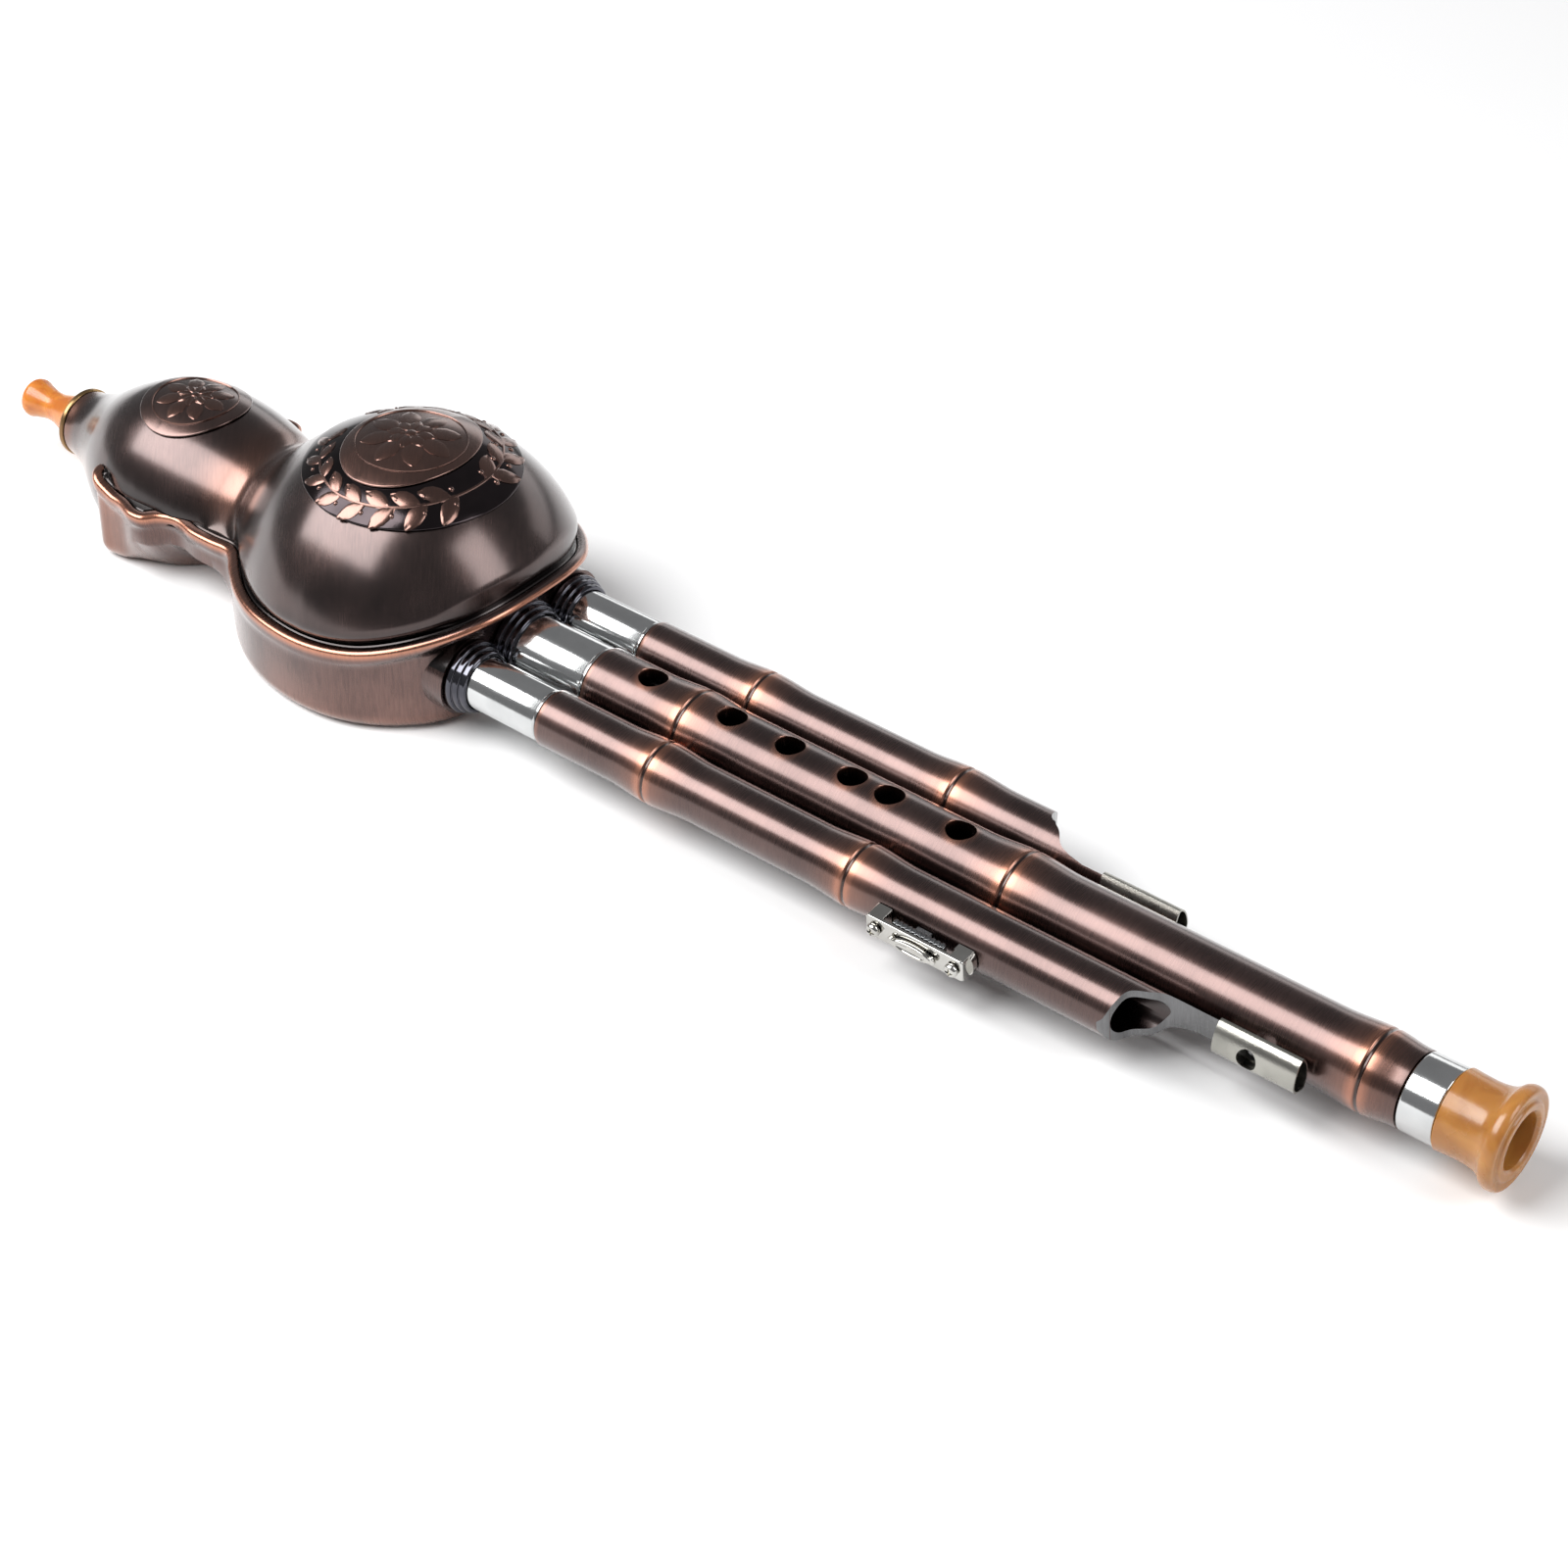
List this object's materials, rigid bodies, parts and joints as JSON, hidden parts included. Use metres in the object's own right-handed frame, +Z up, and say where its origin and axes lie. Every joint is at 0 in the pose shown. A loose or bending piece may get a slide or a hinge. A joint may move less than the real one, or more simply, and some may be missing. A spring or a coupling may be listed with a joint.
{
  "type": "hulusi",
  "caption": "Gourd-shaped free-reed wind instrument with a melody pipe, drone pipes with slide valves, chrome ferrules, an amber bell and mouthpiece.",
  "frame": {"origin": "on the plane the gourd's floor rests on, under the middle of the instrument's length and width", "axes": "+X along the pipes towards the bell, +Z up out of the playing face with the finger holes"},
  "size_m": [0.4246, 0.0794, 0.0565],
  "materials": {
    "copper": "antique copper plating, brushed",
    "dark_copper": "dark antique copper plating, finely scratched",
    "medallion": "dark polished ground with copper relief",
    "black_chrome": "black chrome plating",
    "chrome": "mirror chrome plating",
    "nickel": "satin nickel plating",
    "dark_steel": "dark ribbed steel",
    "gold_rim": "gold-brown lacquer",
    "reed_brass": "plain brass",
    "amber": "translucent amber resin",
    "seal": "black rubber",
    "felt": "dark felt"
  },
  "bodies": {
    "wind_chest": {"back_shell": "copper", "front_shell": "dark_copper", "upper_medallion": "medallion", "lower_medallion": "medallion", "medallion_boss": "medallion", "socket_plate": "black_chrome", "neck_rim": "gold_rim", "main_socket_seal": "seal", "right_socket_seal": "seal", "left_socket_seal": "seal"},
    "mouthpiece": {"mouthpiece": "amber"},
    "melody_pipe": {"main_pipe": "copper", "main_ferrule": "chrome", "main_end_ring": "chrome", "main_bell": "amber", "main_reed_tube": "reed_brass", "main_reed_plate": "reed_brass", "main_reed_plug": "amber"},
    "right_drone": {"right_drone_pipe": "copper", "right_ferrule": "chrome", "right_cord_sleeve": "nickel", "right_reed_tube": "reed_brass", "right_reed_plate": "reed_brass", "right_reed_plug": "amber", "right_valve_base": "nickel", "right_valve_screw_upper": "nickel", "right_valve_screw_lower": "nickel"},
    "left_drone": {"left_drone_pipe": "copper", "left_ferrule": "chrome", "left_cord_sleeve": "nickel", "left_reed_tube": "reed_brass", "left_reed_plate": "reed_brass", "left_reed_plug": "amber", "left_valve_base": "nickel", "left_valve_screw_upper": "nickel", "left_valve_screw_lower": "nickel"},
    "right_valve_slider": {"right_valve_bar": "dark_steel", "right_valve_thumbpiece": "nickel", "right_valve_pad": "felt"},
    "left_valve_slider": {"left_valve_bar": "dark_steel", "left_valve_thumbpiece": "nickel", "left_valve_pad": "felt"}
  },
  "joints": [
    {"name": "melody_pipe_slide", "type": "slide", "parent": "wind_chest", "child": "melody_pipe", "axis": [1, 0, 0], "range_m": [0, 0.06]},
    {"name": "right_drone_slide", "type": "slide", "parent": "wind_chest", "child": "right_drone", "axis": [1, 0, 0], "range_m": [0, 0.034]},
    {"name": "left_drone_slide", "type": "slide", "parent": "wind_chest", "child": "left_drone", "axis": [1, 0, 0], "range_m": [0, 0.06]},
    {"name": "mouthpiece_slide", "type": "slide", "parent": "wind_chest", "child": "mouthpiece", "axis": [-1, 0, 0], "range_m": [0, 0.014]},
    {"name": "right_valve_slide", "type": "slide", "parent": "right_drone", "child": "right_valve_slider", "axis": [1, 0, 0], "range_m": [-0.0017, 0.0017]},
    {"name": "left_valve_slide", "type": "slide", "parent": "left_drone", "child": "left_valve_slider", "axis": [1, 0, 0], "range_m": [-0.0017, 0.0017]}
  ]
}
